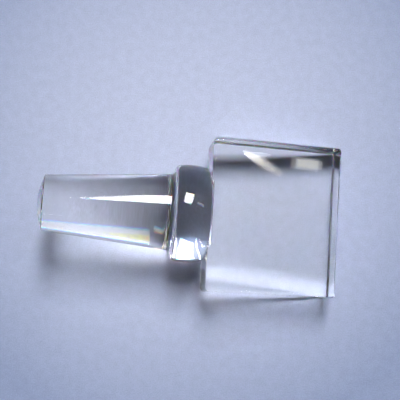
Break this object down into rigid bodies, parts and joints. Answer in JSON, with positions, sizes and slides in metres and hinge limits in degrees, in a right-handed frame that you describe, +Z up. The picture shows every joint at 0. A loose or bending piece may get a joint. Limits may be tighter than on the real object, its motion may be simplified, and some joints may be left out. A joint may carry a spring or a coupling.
{
  "type": "glass stopper",
  "caption": "Solid clear glass stopper: a tapered round plug, a barrel-shaped collar and a flat square slab as the finger grip, lying on its side.",
  "frame": {"origin": "on the table, under the middle of the resting stopper's length and width", "axes": "+X level along the stopper, from the plug's tip towards the slab; +Y across the slab's width; +Z up"},
  "size_m": [0.0838, 0.043, 0.0283],
  "materials": {
    "clear_glass": "clear pressed glass, fire-polished, with a smooth ground plug"
  },
  "bodies": {
    "root": {"stopper": "clear_glass"}
  },
  "joints": []
}
